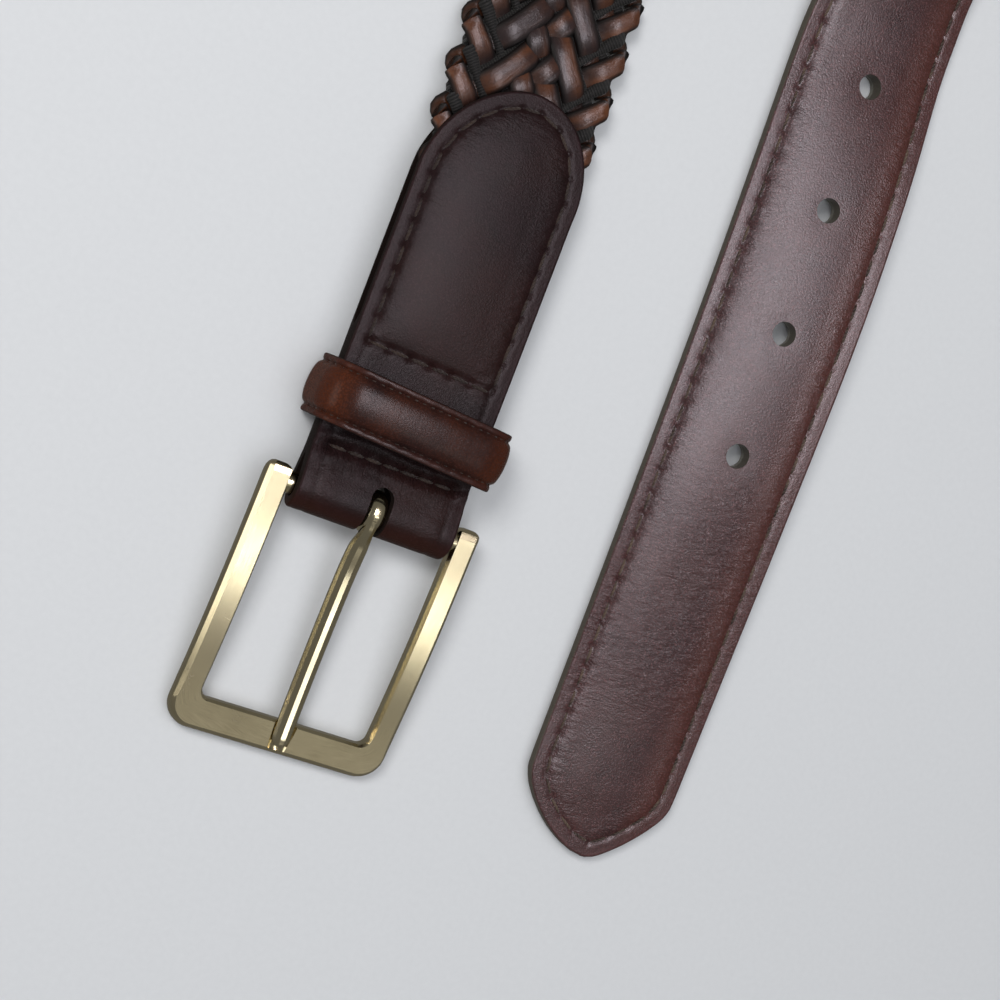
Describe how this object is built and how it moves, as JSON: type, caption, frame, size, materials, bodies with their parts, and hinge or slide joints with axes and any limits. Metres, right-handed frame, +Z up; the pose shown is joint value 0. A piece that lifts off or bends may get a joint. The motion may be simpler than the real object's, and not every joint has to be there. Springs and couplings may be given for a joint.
{
  "type": "braided belt",
  "caption": "Braided leather belt with a stitched tab, keeper, punched end strap and a rectangular prong buckle, lying in a loop.",
  "frame": {"origin": "on the keeper's flat underside, below the strap's middle line, on the surface that the belt lies on", "axes": "+Z up from the surface, +Y from the buckle along the strap towards the loop, +X across the strap towards the punched end"},
  "size_m": [0.1201, 0.5164, 0.0335],
  "materials": {
    "buckle_tab": "smooth polished dark brown",
    "keeper": "smooth polished dark brown",
    "braid": "antiqued brown strips with black cords",
    "tip_strap": "smooth polished dark brown",
    "tip_lining": "matte grey-olive",
    "buckle_frame": "satin brushed light gold",
    "prong": "satin brushed light gold"
  },
  "bodies": {
    "strap": {"buckle_tab": "buckle_tab", "keeper": "keeper", "braid": "braid", "tip_strap": "tip_strap", "tip_lining": "tip_lining"},
    "frame": {"buckle_frame": "buckle_frame"},
    "prong": {"prong": "prong"}
  },
  "joints": [
    {"name": "frame_swing", "type": "hinge", "parent": "strap", "child": "frame", "pos_m": [0, -0.0174, 0.0062], "axis": [1, 0, 0], "range_deg": [-45, 30]},
    {"name": "prong_swing", "type": "hinge", "parent": "frame", "child": "prong", "pos_m": [0, -0.0174, 0.0062], "axis": [1, 0, 0], "range_deg": [-55, 0]}
  ]
}
